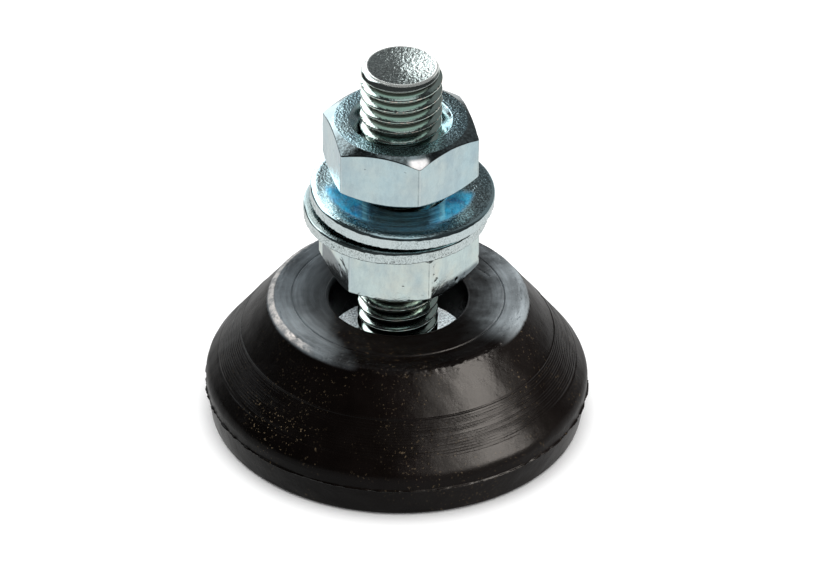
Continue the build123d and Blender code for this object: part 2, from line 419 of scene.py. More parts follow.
def washer_detail(n, colour, fine, with_painted_reflection, wall_dirt, face_painted_shade):
    """A mottled cut edge, painted shade on the flat face, and the painted reflections where
    with_painted_reflection is set.
    """
    hidden = 0.0
    # painted reflections on the washer's face
    if with_painted_reflection:
        colour, hidden = paint_washer_reflections(n, colour, fine)
    facing = n.facing()
    wall = n.times(n.band(facing, -0.3, 0.3, 0.1), n.band_mm(n.polar()[0], *WASHER_WALL))
    mottle = n.ramp(n.noise(5200, 3, 0.75), (0.40, 0.25), (0.52, 1.0))
    patches = n.ramp(n.noise(330, 3, 0.6), (0.40, 0.25), (0.60, 1.0))
    colour = n.mix(n.times(wall, 0.6), colour, WALL_GREY)
    # painted shade on the flat face, in the share face_painted_shade
    colour = n.mix(n.times(n.band(facing, 0.9, 1.1, 0.2), face_painted_shade), colour, GAP_SHADE_GREY)
    return n.tone(n.times(wall, patches, wall_dirt), colour, mottle), n.inverse(hidden)


CORNER_MIDDLE = 30  # degrees, where a corner comes in each 60 degree sector that MODULO gives
# corner line: rubbed wear, made brighter as a painted highlight
CORNER_RUBBED_HIGHLIGHT = (30.1, 30.7, 0.4)  # degrees
# painted shade line on one side of each corner
CORNER_SHADE = (29.0, 29.4, 0.4)  # degrees
CORNER_RUBBED_HIGHLIGHT_GREY, CORNER_SHADE_GREY = (0.95, 0.98, 0.98), (0.22, 0.25, 0.25)
HANDLED_GREY = (0.33, 0.43, 0.52)
# painted reflection of the black rubber base, low on flats of the lower nut
BASE_REFLECTION_HALF_WIDTH, BASE_REFLECTION_SIDE_FADE = 27, 3  # degrees
BASE_REFLECTION_TOP_FADE, BASE_REFLECTION_WAVER = 0.7, 1.0  # mm
BASE_REFLECTION_GREY = (0.095, 0.120, 0.145)


def nut_flats(n, colour, fine, corner_deg, base_reflections):
    """Rubbed corners brightened by a painted highlight, a painted shade line beside them, handled flats,
    and a painted reflection of the dark rubber base low on some flats.
    """
    height, angle = n.polar()[1:]
    facing = n.facing()
    flat = n.band(facing, *UPRIGHT)
    # the whole turn keeps MODULO's argument positive
    past_corner = n.math("SUBTRACT", angle, math.radians(corner_deg - 360 - CORNER_MIDDLE))
    past_corner = n.math("MODULO", past_corner, math.radians(60))
    side = n.times(flat, n.ramp(fine, (0.38, 0.35), (0.55, 1.0)))
    # painted shade beside each corner, then the corner's rubbed, painted highlight
    colour = n.mix(n.times(n.band_deg(past_corner, *CORNER_SHADE), side, 0.50), colour, CORNER_SHADE_GREY)
    colour = n.mix(n.times(n.band_deg(past_corner, *CORNER_RUBBED_HIGHLIGHT), side, 0.30), colour, CORNER_RUBBED_HIGHLIGHT_GREY)
    handled = n.ramp(n.noise(420, 5, 0.7, n.stretch((1, 1, 0.45))), (0.44, 0.0), (0.66, 1.0))
    colour = n.mix(n.times(flat, handled, 0.34), colour, HANDLED_GREY)
    level = n.plus(height, n.times(n.noise(300, 2), BASE_REFLECTION_WAVER * MM))
    # painted reflection of the rubber base: dark low on each flat given
    for direction_deg, top_mm in base_reflections:
        edges = direction_deg - BASE_REFLECTION_HALF_WIDTH, direction_deg + BASE_REFLECTION_HALF_WIDTH
        across = n.band_deg(angle, *edges, BASE_REFLECTION_SIDE_FADE)
        up = n.band_mm(level, 0.0, top_mm, BASE_REFLECTION_TOP_FADE)
        base_reflection = n.times(across, up, n.band(facing, -1.0, 0.5, 0.1), 0.80)
        colour = n.mix(base_reflection, colour, BASE_REFLECTION_GREY)
    return colour


LEVEL_TINT = (0.76, 0.94, 1.0, 1.0)
CHAMFER_RING = (8.0, 11.0, 0.4)
# painted shade on the chamfer: a dark edge line, a grey over it all, and a deeper mottled shade
CHAMFER_EDGE_SHADE, CHAMFER_SHADE_GREY, CHAMFER_DEEP_SHADE = (0.05, 0.055, 0.055), (0.24, 0.28, 0.29), (0.08, 0.095, 0.095)
CHAMFER_DEEP_SHADE_SIDE = (-150, 8, 12)  # degrees
# a painted highlight on the chamfer at one corner
CHAMFER_HIGHLIGHT_AT = (-80, -71, 6)  # degrees
CHAMFER_HIGHLIGHT_RING = (8.8, 11.0, 0.5)
CHAMFER_HIGHLIGHT_GREY = (0.78, 0.755, 0.75)


def nut_detail(n, colour, fine, corner_deg, base_reflections):
    """A nut's flats, painted shade over its chamfer, mottled part of the way round, and a painted
    highlight on the chamfer at one corner. corner_deg is where a corner stands. base_reflections
    holds a flat's direction in degrees and a height in mm."""
    colour = nut_flats(n, colour, fine, corner_deg, base_reflections)
    radius, _, angle = n.polar()
    facing = n.facing()
    colour = n.tone(n.times(n.band(facing, *LEVEL), 0.55), colour, LEVEL_TINT)
    ring = n.band_mm(radius, *CHAMFER_RING)
    # painted shade: a dark line where the face meets the chamfer
    colour = n.mix(n.times(n.band(facing, 0.20, 0.62, 0.08), ring, 0.55), colour, CHAMFER_EDGE_SHADE)
    chamfer = n.times(n.band(facing, 0.70, 0.93, 0.08), ring)
    # painted shade over the whole chamfer
    colour = n.mix(n.times(chamfer, 0.80), colour, CHAMFER_SHADE_GREY)
    # deeper painted shade, mottled, over part of the chamfer, leaving out the highlighted corner
    corner = n.band_deg(angle, *CHAMFER_HIGHLIGHT_AT)
    where = n.math("SUBTRACT", n.band_deg(angle, *CHAMFER_DEEP_SHADE_SIDE), corner)
    mottle = n.ramp(n.noise(2600, 4, 0.7), (0.40, 1.0), (0.62, 0.25))
    colour = n.mix(n.times(chamfer, where, mottle, 0.92), colour, CHAMFER_DEEP_SHADE)
    # painted highlight: bright, less metallic chamfer at one corner
    chamfer_highlight = n.times(n.band(facing, 0.50, 0.93, 0.08), corner, n.band_mm(radius, *CHAMFER_HIGHLIGHT_RING))
    chamfer_highlight = n.times(chamfer_highlight, n.ramp(fine, (0.35, 0.75), (0.6, 1.0)))
    return n.mix(chamfer_highlight, colour, CHAMFER_HIGHLIGHT_GREY), n.inverse(n.times(chamfer_highlight, 0.85))


# where the thread's roots get painted shade
SHADED_ROOT = (0.0, 4.27, 0.16)
SCUFFED_CREST = (4.84, 6.0, 0.05)
LIP_RING = (4.1, 6.0, 0.06)
ROOT_SHADE_GREY, SCUFF = (0.085, 0.078, 0.060), (0.88, 0.80, 0.72)
TIP_GREY, LIP_GREY = (0.86, 0.90, 0.90), (0.90, 0.90, 0.87)


def stud_detail(n, colour, fine):
    """Painted shade in the thread's roots, scuffed crests, a pale end face and a lip round it."""
    radius, height = n.polar()[:2]
    tip = stud_high[2]
    below_tip = n.band_mm(height, 0.0, tip - 0.9, 0.2)
    # painted shade in the thread's roots
    root_shade = n.times(n.band_mm(radius, *SHADED_ROOT), below_tip)
    colour = n.mix(n.times(root_shade, 0.75), colour, ROOT_SHADE_GREY)
    scuffs = n.ramp(n.noise(2600, 3), (0.5, 0.0), (0.6, 1.0))
    colour = n.mix(n.times(n.band_mm(radius, *SCUFFED_CREST), scuffs, below_tip), colour, SCUFF)
    colour = n.mix(n.times(n.inverse(below_tip), 0.5), colour, TIP_GREY)
    lip = n.times(n.band_mm(height, tip - 0.26, FAR, 0.06), n.band_mm(radius, *LIP_RING))
    return n.mix(n.times(lip, 0.6), colour, LIP_GREY), n.inverse(n.times(lip, 0.22))


def plate_detail(n, colour, fine):
    """The insert is duller: a thin, powdery passivated skin."""
    return colour, 0.15


# ---------------------------------------------------------------- rubber and plastic

RUBBER_BLACK, RUBBER_DARK = (0.0007, 0.0004, 0.0003), (0.0016, 0.0011, 0.0010)
# SHEEN_GREY is the colour of a painted sheen
DUST, SHEEN_GREY, RIM_PALE_GREY = (0.16, 0.12, 0.07), (0.105, 0.123, 0.136), (0.36, 0.35, 0.34)
DUSTY_SIDE = (-150, -112, 14)  # degrees
DUSTY_HEIGHT = (0.0, 8.5, 2.0)
CROWN_HEIGHT = (16.0, 18.0, 0.4)
# where the crown's painted sheen lies
SHEEN_WAVER = 12
SHEEN_LEFT, SHEEN_RIGHT = (-30, -11.2, 5.8), (13.2, 30, 6.0)  # along X
SHEEN_BACK = (-4.0, 30, 6.0)  # along Y, for the right side
SHEEN_OUTER = (13.2, 20, 3.0)  # distance from the axis
RIM_RING, RIM_HEIGHT, RIM_PALE_SIDE = (15.2, 15.7, 0.2), (15.8, 17.0, 0.2), (-20, -12.8, 3.0)
WELL_WALL = (8.4, 8.9)
RUBBER_SHINE = 0.085


def rubber_material():
    """Moulded black rubber: soft sheen, dust, circular smears, and painted sheen on the crown's left and
    right, where the smears are stronger too, and a rim that is paler on the left side only."""
    n = Nodes(bpy.data.materials.new("moulded_rubber"))
    radius, height, angle = n.polar()
    x, y = n.split(n.place)[:2]
    cloud = n.noise(120, 6, 0.6)
    fine = n.noise(1500, 5, 0.6)
    specks = n.ramp(n.noise(3300, 2, 0.5), (0.64, 0.0), (0.70, 1.0))
    patches = n.ramp(n.noise(110, 3), (0.46, 0.0), (0.62, 1.0))
    low_front = n.times(n.band_deg(angle, *DUSTY_SIDE), n.band_mm(height, *DUSTY_HEIGHT))
    dust = n.times(specks, patches, n.plus(n.times(low_front, 0.75), 0.25))
    colour = n.mix(n.ramp(cloud, (0.35, 0.0), (0.75, 1.0)), RUBBER_BLACK, RUBBER_DARK)
    colour = n.mix(n.times(dust, 0.5), colour, DUST)

    # painted sheen: grey on the crown's left and right; the circular smears are real, made stronger there
    wavering = n.plus(x, n.times(n.math("SUBTRACT", cloud, 0.5), SHEEN_WAVER * MM))
    right = n.times(n.band_mm(wavering, *SHEEN_RIGHT), n.band_mm(y, *SHEEN_BACK))
    aside = n.plus(n.band_mm(wavering, *SHEEN_LEFT), right)
    aside = n.times(aside, n.plus(n.times(n.band_mm(radius, *SHEEN_OUTER), 0.5), 0.55))
    painted_sheen = n.times(n.ramp(cloud, (0.30, 0.25), (0.62, 1.0)), aside)
    smear_and_sheen = n.ramp(n.rings(1900, 2.6), (0.42, 0.0), (0.72, 1.0))
    smear_and_sheen = n.times(smear_and_sheen, n.plus(n.times(aside, 0.30), 0.012))
    painted_reflection = n.math("ADD", n.times(painted_sheen, 0.80), smear_and_sheen, clamp=True)
    # the painted sheen is hidden from reflections, so the metal's reflections of the crown stay dark
    painted_reflection = n.times(painted_reflection, n.band_mm(height, *CROWN_HEIGHT), n.inverse(n.glossy_ray()))
    colour = n.mix(painted_reflection, colour, SHEEN_GREY)

    # the rim is paler, mottled, on the left side only
    rim = n.times(n.band_mm(radius, *RIM_RING), n.band_mm(height, *RIM_HEIGHT), n.band_mm(x, *RIM_PALE_SIDE))
    rim_mottle = n.ramp(n.noise(700, 6, 0.75), (0.40, 0.25), (0.56, 1.0))
    colour = n.mix(n.times(rim, rim_mottle, 0.95), colour, RIM_PALE_GREY)

    roughness = n.ramp(cloud, (0.3, 0.24), (0.7, 0.35))
    roughness = n.math("ADD", roughness, n.times(n.plus(dust, painted_reflection), 0.25), clamp=True)
    normal = n.bump(n.plus(fine, n.times(cloud, 0.5)), 0.03 * MM)
    shine = n.times(n.span_mm(radius, *WELL_WALL), RUBBER_SHINE)
    return n.finish(colour, roughness, 0.0, normal, Specular_IOR_Level=shine)


ACETAL_DARK, ACETAL_LIGHT = (0.80, 0.78, 0.70), (0.88, 0.87, 0.82)


def plastic_material():
    """Natural acetal: waxy, with faint moulding flow lines."""
    n = Nodes(bpy.data.materials.new("acetal"))
    flow = n.noise(300, 5, 0.6, n.stretch((1, 1, 4)))
    colour = n.mix(n.ramp(flow, (0.35, 0.0), (0.7, 1.0)), ACETAL_DARK, ACETAL_LIGHT)
    return n.finish(colour, n.ramp(flow, (0.3, 0.38), (0.7, 0.5)), 0.0, n.bump(flow, 0.04 * MM))


# ---------------------------------------------------------------- placing pieces

AIR = 0.012  # left between faces that touch


def keep_inside(points, node):
    """Hold a piece within its own CAD node's height, so that neighbours stay clear of it."""
    low, high = box_mm(node)
    points[..., 2] = np.clip(points[..., 2], low[2] + AIR, high[2] - AIR)


def dress(piece, node, body, finish):
    """Give a piece its material and body, in the place of its CAD node."""
    piece.data.materials.append(finish)
    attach(piece, body)
    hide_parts(node)
    return piece


# ---------------------------------------------------------------- the rubber base, in mm

SOLE_RINGS = (11.0, 15.0, 19.0)
SOLE_RING_DEPTH = 0.6
SOLE_ROUND = 0.6
PARTING_HEIGHT = 4.0
PARTING = ((23.25, 3.82), (23.42, PARTING_HEIGHT), (23.27, 4.18))
BAND_TOP = (23.3, 5.2)
FLANK_FOOT, FLANK_HEAD = (22.85, 6.5), (15.75, 16.0)
CROWN_GROOVE = (13.05, 12.9, 12.75)
CROWN_GROOVE_DEPTH = 0.15
WELL_MOUTH, WELL_ROUND = 8.75, 0.3
INSERT_POCKET = ((8.45, 10.0), (12.5, 10.0), (12.5, 7.5), (10.1, 7.5), (10.1, 1.4), (0.0, 1.4))
RUBBER_COLUMNS = 540
OUTSIDE_STEP, INSIDE_STEP = 0.055, 1.5

RIDGE_RADIUS = 19.1
RIDGE_HEIGHT, RIDGE_WIDTH = 0.07, 0.10
GROOVE_STEP, GROOVE_COUNT, GROOVE_DEPTH = 0.33, 14, 0.036  # turned rings, along the flank
LAST_GROOVE_DEPTH, LAST_GROOVE_WIDTH = 0.05, 0.12
FLASH_WIDTH = 0.13
SCRATCHES = (((9.5, 6.1), (10.4, 5.4)), ((10.4, 5.4), (11.0, 5.7)), ((10.4, 5.4), (11.1, 4.4)))
SCRATCH_DEPTH, SCRATCH_WIDTH = 0.16, 0.12
CHIPPED_RADIUS, CHIPPED_WIDTH, CHIP_DEPTH = 15.1, 0.9, 0.22


def rubber_outline():
    """The moulding's section, from the sole's centre round the outside and back under the insert."""
    sole, top = base_low[2], base_high[2]
    outside = [(0.0, sole)]
    for ring in SOLE_RINGS:
        roof = sole + SOLE_RING_DEPTH
        outside += [(ring - 0.6, sole), (ring - 0.55, roof), (ring + 0.55, roof), (ring + 0.6, sole)]
    outside += arc((22.1, sole + SOLE_ROUND), SOLE_ROUND, -90, 0, 6)
    outside += [*PARTING, BAND_TOP]
    outside += curve(BAND_TOP, (23.3, 5.9), FLANK_FOOT)
    outside.append(FLANK_HEAD)
    outside += curve(FLANK_HEAD, (15.38, top), (14.1, top))
    outside += list(zip(CROWN_GROOVE, (top, top - CROWN_GROOVE_DEPTH, top)))
    outside += [(WELL_MOUTH, top)] + arc((WELL_MOUTH, top - WELL_ROUND), WELL_ROUND, 90, 180, 5)
    return np.array(outside), np.array(INSERT_POCKET)


def flank_rings(profile, angles):
    """A ridge on the flank, turned rings below it and a wider groove under them. They vary in depth
    round the flank, as tool marks do."""
    head = np.array(FLANK_HEAD)
    slope = np.array(FLANK_FOOT) - head
    slope = slope / np.linalg.norm(slope)
    outward = np.array([-slope[1], slope[0]])
    radius = profile[:, 0]
    along = (profile - head) @ slope
    on_flank = (np.abs((profile - head) @ outward) < 0.02) & (along > 0) & (radius < 22.9)
    ridge_at = (RIDGE_RADIUS - head[0]) / slope[0]
    phase = (along - ridge_at) / GROOVE_STEP
    in_grooves = on_flank & (phase > 0) & (phase < GROOVE_COUNT)
    rings = np.zeros(len(profile))
    rings[in_grooves] = -GROOVE_DEPTH * (0.5 - 0.5 * np.cos(TAU * phase[in_grooves]))
    rings += on_flank * RIDGE_HEIGHT * bell(along, ridge_at, RIDGE_WIDTH)
    last_at = ridge_at + GROOVE_COUNT * GROOVE_STEP
    rings -= on_flank * LAST_GROOVE_DEPTH * bell(along, last_at, LAST_GROOVE_WIDTH)
    variation = noise_on(turned(radius[:, None] * 0.16, (along * 3.1)[:, None], angles), 1.0, 3)
    return rings[:, None] * (0.75 + 0.9 * variation)


def torn_flash(profile, angles):
    """The ragged line at the mould's parting."""
    radius, height = profile[:, 0], profile[:, 1]
    flash = bell(height, PARTING_HEIGHT, FLASH_WIDTH) * (radius > 23)
    circle = turned(23, 0, angles)
    tear = 0.28 * noise_on(circle, 0.9, 5) + 0.22 * noise_on(circle, 3.3, 6)
    return flash[:, None] * np.clip(0.03 + tear, -0.14, 0.07)[None, :]


def scratches_at(places):
    """Depth of the crown's scratches at places along X and Y."""
    depth = 0
    for start, end in SCRATCHES:
        run = np.array(end) - np.array(start)
        offset = places - np.array(start)
        share = np.clip(offset @ run / (run @ run), 0, 1)
        distance = np.linalg.norm(offset - share[..., None] * run, axis=-1)
        depth = depth + SCRATCH_DEPTH * bell(distance, 0, SCRATCH_WIDTH)
    return depth


def make_rubber_base():
    outside, inside = rubber_outline()
    fine = resample(outside, OUTSIDE_STEP)
    fine = fine[fine[:, 0] > 0.01]
    profile = np.vstack([fine, resample(inside, INSIDE_STEP)[:-1]])
    points, angles = around(profile, RUBBER_COLUMNS)
    radius, height = profile[:, 0], profile[:, 1]
    push = flank_rings(profile, angles) + torn_flash(profile, angles)
    on_crown = height > 16.2
    push[on_crown] -= scratches_at(points[on_crown][..., :2])
    shell = (radius > 8.4) & (np.arange(len(profile)) < len(fine)) & (height > 0.7)
    push[shell] += noise_on(points[shell], 0.55, 8) * 0.035
    rim_share = bell(radius, CHIPPED_RADIUS, CHIPPED_WIDTH) * (height > 15.6)
    chips = np.minimum(0, noise_on(points[shell], 2.4, 9) + 0.12) * CHIP_DEPTH
    push[shell] += rim_share[shell][:, None] * chips
    tangent = np.gradient(profile, axis=0)
    tangent /= np.maximum(np.linalg.norm(tangent, axis=1, keepdims=True), 1e-9)
    normal = np.stack([tangent[:, 1], -tangent[:, 0]], axis=1)
    points += turned(push * normal[:, 0:1], push * normal[:, 1:2], angles)
    piece = grid_mesh("rubber_moulding", points, closed_rows=False, capped=True)
    return dress(piece, "rubber_base", "foot", rubber_material())


# ---------------------------------------------------------------- thread and nuts, in mm

THREAD_PITCH = 1.5
THREAD_FLANK = math.radians(30)
THREAD_LAND = THREAD_PITCH / 8
CREST = 4.94
ROOT = 4.01
PLAY = 0.10
NUT_MINOR = 4.25
NUT_LAND = THREAD_LAND + 0.115
FLATS = 17.0
CORNER_SHARPNESS = 90
NUT_COLUMNS = 720
BOTTOM_MOUTH = 5.6
CHAMFER_RADIUS = 8.05
CHAMFER_SLOPE = math.tan(math.radians(30))
EDGE_ROUND = 0.22
FACE_DOME = 0.07  # how far an end face falls away towards its chamfer


def soft_clip(value, low, high, soft):
    """Clamp between low and high with rounded corners of about the size soft."""
    lower = 0.5 * (value + low + np.sqrt((value - low) ** 2 + soft**2))
    return 0.5 * (lower + high - np.sqrt((lower - high) ** 2 + soft**2))


def thread_radius(angles, heights, crest, root, land, soft):
    """Radius of a right-hand thread over rows of height and columns of angle."""
    phase = heights[:, None] - THREAD_PITCH * angles[None, :] / TAU
    off_crest = np.abs((phase + THREAD_PITCH / 2) % THREAD_PITCH - THREAD_PITCH / 2)
    flank = crest - (off_crest - land / 2) / math.tan(THREAD_FLANK)
    return soft_clip(flank, root, crest, soft)


def hexagon_radius(angles, corner_deg):
    """Outline of a hexagon with a corner at corner_deg, its corners slightly rounded."""
    sides = [np.maximum(np.cos(angles - math.radians(corner_deg + 30 + 60 * k)), 0) for k in range(6)]
    joined = sum(side**CORNER_SHARPNESS for side in sides) ** (1 / CORNER_SHARPNESS)
    return FLATS / 2 / joined


def nut_end(outer, face_z, up, mouth):
    """Rows of radius and height from the mouth over the face and the chamfer, round the edge to the side."""
    one = np.ones(len(outer))
    rows = []
    for t in np.linspace(0, 1, 22):
        rows.append(((mouth + (CHAMFER_RADIUS - mouth) * t) * one, (face_z - up * FACE_DOME * t * t) * one))
    rim = outer - EDGE_ROUND / 2
    for t in np.linspace(0.08, 1, 14):
        radius = CHAMFER_RADIUS + (rim - CHAMFER_RADIUS) * t
        rows.append((radius, face_z - up * (FACE_DOME + (radius - CHAMFER_RADIUS) * CHAMFER_SLOPE)))
    drop = FACE_DOME + (rim - CHAMFER_RADIUS) * CHAMFER_SLOPE + EDGE_ROUND * math.sin(math.radians(60))
    for turn in np.radians(np.linspace(50, 0, 6)):
        edge = outer - EDGE_ROUND + EDGE_ROUND * math.cos(turn)
        rows.append((edge, face_z - up * (drop - EDGE_ROUND * math.sin(turn))))
    return rows


def make_nut(name, node, corner_deg, top_mouth, seed, finish):
    """A hexagon nut with chamfered ends and a threaded bore, which is top_mouth in radius at the top."""
    low, high = box_mm(node)
    bottom, top = low[2], high[2]
    angles = even_angles(NUT_COLUMNS)
    outer = hexagon_radius(angles, corner_deg)
    upper = nut_end(outer, top, 1, top_mouth)
    lower = nut_end(outer, bottom, -1, BOTTOM_MOUTH)
    side = [(outer, upper[-1][1] * (1 - t) + lower[-1][1] * t) for t in np.linspace(0, 1, 44)[1:-1]]
    bore_z = np.arange(bottom + 0.05, top, 0.055)
    thread = thread_radius(angles, bore_z, CREST + PLAY, NUT_MINOR, NUT_LAND, 0.05)
    mouth = np.maximum(BOTTOM_MOUTH - (bore_z - bottom), top_mouth - (top - bore_z))
    bore = soft_clip(thread, mouth[:, None] + 0 * thread, 99, 0.05)
    rows = upper + side + lower[::-1] + [(bore[i], z + 0 * angles) for i, z in enumerate(bore_z)]
    radius, height = (np.array(part) for part in zip(*rows))
    points = turned(radius, height, angles)
    shell = slice(0, len(upper) + len(side) + len(lower))
    wave = noise_on(points[shell], 0.35, seed) * 0.035 + noise_on(points[shell], 1.6, seed + 1) * 0.010
    dents = np.minimum(0, noise_on(points[shell], 1.1, seed + 2) + 0.42) * 0.16
    points[shell, :, :2] *= (1 + (wave + dents) / 9)[..., None]
    points[shell, :, 2] += noise_on(points[shell], 0.9, seed + 3) * 0.02
    keep_inside(points, node)
    return dress(grid_mesh(name, points), node, node, finish)


# ---------------------------------------------------------------- washers, in mm

WASHER_RADIUS = 11.15
WASHER_HOLE = 5.5
WASHER_THICKNESS = 1.9
WASHER_COLUMNS = 720
DIE_ROLL_IN, DIE_ROLL_DOWN = 1.0, 0.55  # how far the punched edge is drawn in and down
EDGE_BREAK = 0.12


def make_washer(name, node, tilt_deg, low_side_deg, seed, finish):
    """A punched washer: drawn-down upper edge, bright cut band and torn lower band. It leans by
    tilt_deg towards low_side_deg."""
    half = WASHER_THICKNESS / 2
    profile = [(WASHER_HOLE + 0.3, half), (8.6, half)]
    for t in np.radians(np.linspace(90, 0, 14)):
        profile.append((WASHER_RADIUS - DIE_ROLL_IN * (1 - math.cos(t)),
                        half - 0.08 - DIE_ROLL_DOWN * (1 - math.sin(t))))
    profile += [(WASHER_RADIUS, -half + EDGE_BREAK), (WASHER_RADIUS - EDGE_BREAK, -half)]
    profile += [(WASHER_HOLE + EDGE_BREAK, -half), (WASHER_HOLE, -half + EDGE_BREAK)]
    profile.append((WASHER_HOLE, half - 0.3))
    profile = resample(np.array(profile + profile[:1]), 0.13)[:-1]
    points, angles = around(profile, WASHER_COLUMNS)
    radius, height = profile[:, 0], profile[:, 1]
    wall = (radius > WASHER_RADIUS - 0.2) & (height < half - DIE_ROLL_DOWN)
    torn = smooth_step(-height, -0.05, 0.3) * wall
    streaks = noise_on(turned(11 * 1.7, (height * 0.9)[:, None], angles), 1.0, seed)
    crumbs = noise_on(points, 4.2, seed + 4)
    push = torn[:, None] * (streaks * 0.06 + crumbs * 0.045 - 0.04)
    push += wall[:, None] * noise_on(points, 1.3, seed + 1) * 0.03
    top_side = smooth_step(height, 0.2, 0.9)
    points[..., 0] += push * np.cos(angles)
    points[..., 1] += push * np.sin(angles)
    points[..., 2] += top_side[:, None] * (noise_on(points, 0.8, seed + 2) * 0.03 - 0.02)
    low_side = math.radians(low_side_deg)
    hinge = Vector((-math.sin(low_side), math.cos(low_side), 0))
    turn = np.array(Matrix.Rotation(math.radians(tilt_deg), 3, hinge))
    points = points @ turn.T + sum(box_mm(node)) / 2
    keep_inside(points, node)
    return dress(grid_mesh(name, points), node, node, finish)


# ---------------------------------------------------------------- the stud, in mm

BALL_CENTRE = 5.0
BALL_RADIUS = 7.0
SHANK = 4.45
THREAD_START = 10.6
STUD_COLUMNS = 360
CHAMFER_TAPER = 0.72
TIP_FLAT = 4.14
TIP_ROUND = 0.2
TIP_DISH = 0.45


def level_rows(profile, angles):
    """Rows whose radius and height are the same at every angle."""
    return [(r + 0 * angles, z + 0 * angles) for r, z in profile]


def make_stud(finish):
    """Rolled thread, chamfered and dished end, plain shank and truncated ball."""
    tip = stud_high[2]
    angles = even_angles(STUD_COLUMNS)
    plain = [(r, stud_low[2]) for r in (2.0, 4.5, 6.7)]
    plain += arc((0.0, BALL_CENTRE), BALL_RADIUS, -14.5, 50.0, 24)
    plain += [(SHANK, z) for z in (10.42, THREAD_START - 0.05)]
    heights = np.arange(THREAD_START, tip - TIP_ROUND, 0.045)
    thread = thread_radius(angles, heights, CREST, ROOT, THREAD_LAND, 0.07)
    chamfer = TIP_FLAT + TIP_ROUND + (tip - TIP_ROUND - heights) * CHAMFER_TAPER
    lead_in = ROOT + (heights - THREAD_START) + 0.02
    limit = np.minimum(np.minimum(chamfer, lead_in), CREST)
    threaded = soft_clip(thread, 0, limit[:, None] + 0 * thread, 0.05)
    end = arc((TIP_FLAT, tip - TIP_ROUND), TIP_ROUND, 20, 110, 8)
    for r in np.linspace(TIP_FLAT - 0.12, 0.15, 40):
        end.append((r, tip - TIP_DISH * (1 - (r / TIP_FLAT) ** 1.4)))
    rows = level_rows(plain, angles)
    rows += [(threaded[i], z + 0 * angles) for i, z in enumerate(heights)]
    rows += level_rows(end, angles)
    radius, height = (np.array(part) for part in zip(*rows))
    points = turned(radius, height, angles)
    on_crest = smooth_step(radius, 4.6, 4.9) * (height > THREAD_START)
    nicks = noise_on(points, 1.8, 21) * 0.03 + np.minimum(0, noise_on(points, 3.0, 22) + 0.25) * 0.12
    points[..., :2] *= (1 + on_crest * np.minimum(nicks, 0.0) / 5)[..., None]
    face = (height > tip - 0.6) & (radius < TIP_FLAT)
    points[..., 2] -= face * (0.02 + 0.02 * noise_on(points, 2.6, 23))
    piece = grid_mesh("threaded_stud", points, closed_rows=False, capped=True)
    return dress(piece, "levelling_stud", "stud", finish)


# ---------------------------------------------------------------- stage, lights and camera, in metres

FLOOR_HALF = 0.6
SOFTBOXES = (  # compass edges, climb edges and fade, in degrees, then brightness
    ((-32, -12), (-5, 47), 9, 2.3),  # tall, behind and to the left
    ((-70, -32), (24, 47), 9, 2.3),  # its upper wing
    ((15, 60), (12, 48), 20, 0.16),  # faint, to the right
    ((-200, 200), (77, 91), 8, 0.62),  # overhead
)
ROOM_LEVEL = 0.035
MATT_LEVEL = (0.85, 0.85, 0.85)
MIRROR_TINT = (0.94, 0.98, 1.0)


def make_floor():
    mesh = bpy.data.meshes.new("floor")
    h = FLOOR_HALF
    mesh.from_pydata([(-h, -h, 0), (h, -h, 0), (h, h, 0), (-h, h, 0)], [], [(0, 1, 2, 3)])
    floor = bpy.data.objects.new("floor", mesh)
    bpy.context.scene.collection.objects.link(floor)
    n = Nodes(bpy.data.materials.new("pale_paper"))
    paper = n.mix(n.noise(60, 3), (0.93, 0.93, 0.93), (0.95, 0.95, 0.95))
    mirrored = n.mix(n.noise(25, 2), (0.70, 0.70, 0.69), (0.80, 0.80, 0.80))
    mesh.materials.append(n.finish(paper, 0.9, mirrored=mirrored))


def make_world():
    """Even white light for matt surfaces. Mirrors see a dark room with softboxes instead."""
    world = bpy.data.worlds.new("studio")
    bpy.context.scene.world = world
    n = Nodes(world, "Generated")
    x, y, z = n.split(n.place)
    compass, climb = n.math("ARCTAN2", x, y), n.math("ARCSINE", z)
    level = ROOM_LEVEL
    for compass_edges, climb_edges, fade, brightness in SOFTBOXES:
        across, up = n.band_deg(compass, *compass_edges, fade), n.band_deg(climb, *climb_edges, fade)
        level = n.plus(n.times(across, up, brightness), level)
    mirrored = n.mix(level, (0, 0, 0), MIRROR_TINT, clamp=False)
    background = n.add("ShaderNodeBackground")
    n.plug(background.inputs["Color"], n.mix(n.glossy_ray(), MATT_LEVEL, mirrored))
    output = n.add("ShaderNodeOutputWorld")
    n.plug(output.inputs["Surface"], background.outputs[0])


CAMERA_DISTANCE = 0.900
ELEVATION = math.radians(35.62)
ROLL = math.radians(1.0)
SENSOR_WIDTH = 36  # mm
PIXELS_WIDE = 823
FOCAL_PIXELS = 7340
LOOK_AT = Vector((0.00161, 0, 0.01799))


def make_camera():
    data = bpy.data.cameras.new("camera")
    data.sensor_width = SENSOR_WIDTH
    data.lens = FOCAL_PIXELS / PIXELS_WIDE * SENSOR_WIDTH
    data.clip_end = 10
    camera = bpy.data.objects.new("camera", data)
    bpy.context.scene.collection.objects.link(camera)
    camera.location = (0, -CAMERA_DISTANCE * math.cos(ELEVATION), CAMERA_DISTANCE * math.sin(ELEVATION))
    aim = (LOOK_AT - Vector(camera.location)).to_track_quat("-Z", "Y").to_matrix().to_4x4()
    camera.matrix_world = Matrix.Translation(camera.location) @ aim @ Matrix.Rotation(ROLL, 4, "Z")
    bpy.context.scene.camera = camera


